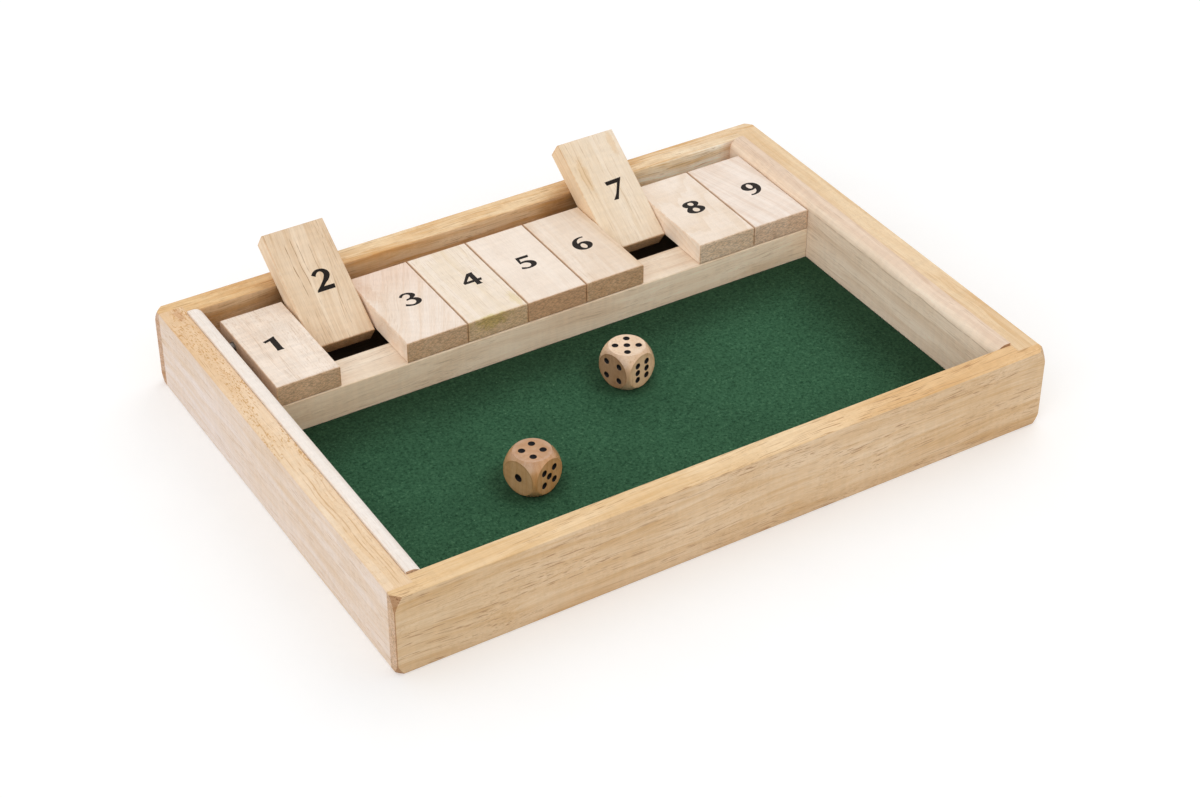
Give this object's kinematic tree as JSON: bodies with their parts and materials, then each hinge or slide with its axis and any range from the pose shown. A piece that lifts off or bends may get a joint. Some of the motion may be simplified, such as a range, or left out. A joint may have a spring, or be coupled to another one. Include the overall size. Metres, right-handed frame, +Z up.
{
  "type": "shut the box game",
  "caption": "Shallow wooden tray with a felt dice floor, a row of numbered tiles that flip on a rod behind a rail, and loose wooden dice.",
  "frame": {"origin": "on the table under the middle of the tray, half-way along its four walls", "axes": "+X to the right along the row of tiles, from tile 1 to tile 9; +Y to the back wall that raised tiles lean on; +Z up"},
  "size_m": [0.28, 0.2067, 0.0518],
  "materials": {
    "frame_wood": "satin rubberwood, lightly oiled",
    "panel_ply": "thin plywood, bare",
    "green_felt": "matt wool felt",
    "liner_wood": "pale wood, sanded",
    "rail_wood": "pale wood, sanded",
    "steel_rod": "drawn steel rod",
    "tile_wood": "pale wood, sanded, with black numerals",
    "die_wood_warm": "turned wood with black pips",
    "die_wood_pale": "turned wood with black pips"
  },
  "bodies": {
    "tray": {"front_wall": "frame_wood", "back_wall": "frame_wood", "left_wall": "frame_wood", "right_wall": "frame_wood", "bottom_panel": "panel_ply", "felt": "green_felt", "left_liner": "liner_wood", "right_liner": "liner_wood", "tile_rail": "rail_wood", "pivot_rod": "steel_rod"},
    "tile_1": {"tile_1": "tile_wood"},
    "tile_2": {"tile_2": "tile_wood"},
    "tile_3": {"tile_3": "tile_wood"},
    "tile_4": {"tile_4": "tile_wood"},
    "tile_5": {"tile_5": "tile_wood"},
    "tile_6": {"tile_6": "tile_wood"},
    "tile_7": {"tile_7": "tile_wood"},
    "tile_8": {"tile_8": "tile_wood"},
    "tile_9": {"tile_9": "tile_wood"},
    "die_1": {"die_1": "die_wood_warm"},
    "die_2": {"die_2": "die_wood_pale"}
  },
  "joints": [
    {"name": "tile_1_flip", "type": "hinge", "parent": "tray", "child": "tile_1", "pos_m": [-0.1067, 0.0712, 0.02655], "axis": [-1, 0, 0], "range_deg": [0, 145.95]},
    {"name": "tile_2_flip", "type": "hinge", "parent": "tray", "child": "tile_2", "pos_m": [-0.0791, 0.0712, 0.02655], "axis": [-1, 0, 0], "range_deg": [-145.95, 0]},
    {"name": "tile_3_flip", "type": "hinge", "parent": "tray", "child": "tile_3", "pos_m": [-0.0516, 0.0712, 0.02655], "axis": [-1, 0, 0], "range_deg": [0, 145.95]},
    {"name": "tile_4_flip", "type": "hinge", "parent": "tray", "child": "tile_4", "pos_m": [-0.0247, 0.0712, 0.02655], "axis": [-1, 0, 0], "range_deg": [0, 145.95]},
    {"name": "tile_5_flip", "type": "hinge", "parent": "tray", "child": "tile_5", "pos_m": [0.0022, 0.0712, 0.02655], "axis": [-1, 0, 0], "range_deg": [0, 145.95]},
    {"name": "tile_6_flip", "type": "hinge", "parent": "tray", "child": "tile_6", "pos_m": [0.0291, 0.0712, 0.02655], "axis": [-1, 0, 0], "range_deg": [0, 145.95]},
    {"name": "tile_7_flip", "type": "hinge", "parent": "tray", "child": "tile_7", "pos_m": [0.056, 0.0712, 0.02655], "axis": [-1, 0, 0], "range_deg": [-145.95, 0]},
    {"name": "tile_8_flip", "type": "hinge", "parent": "tray", "child": "tile_8", "pos_m": [0.0829, 0.0712, 0.02655], "axis": [-1, 0, 0], "range_deg": [0, 145.95]},
    {"name": "tile_9_flip", "type": "hinge", "parent": "tray", "child": "tile_9", "pos_m": [0.1098, 0.0712, 0.02655], "axis": [-1, 0, 0], "range_deg": [0, 145.95]},
    {"name": "die_1_lift", "type": "slide", "parent": "tray", "child": "die_1", "axis": [0, 0, 1], "range_m": [0, 0.04]},
    {"name": "die_2_lift", "type": "slide", "parent": "tray", "child": "die_2", "axis": [0, 0, 1], "range_m": [0, 0.04]}
  ]
}
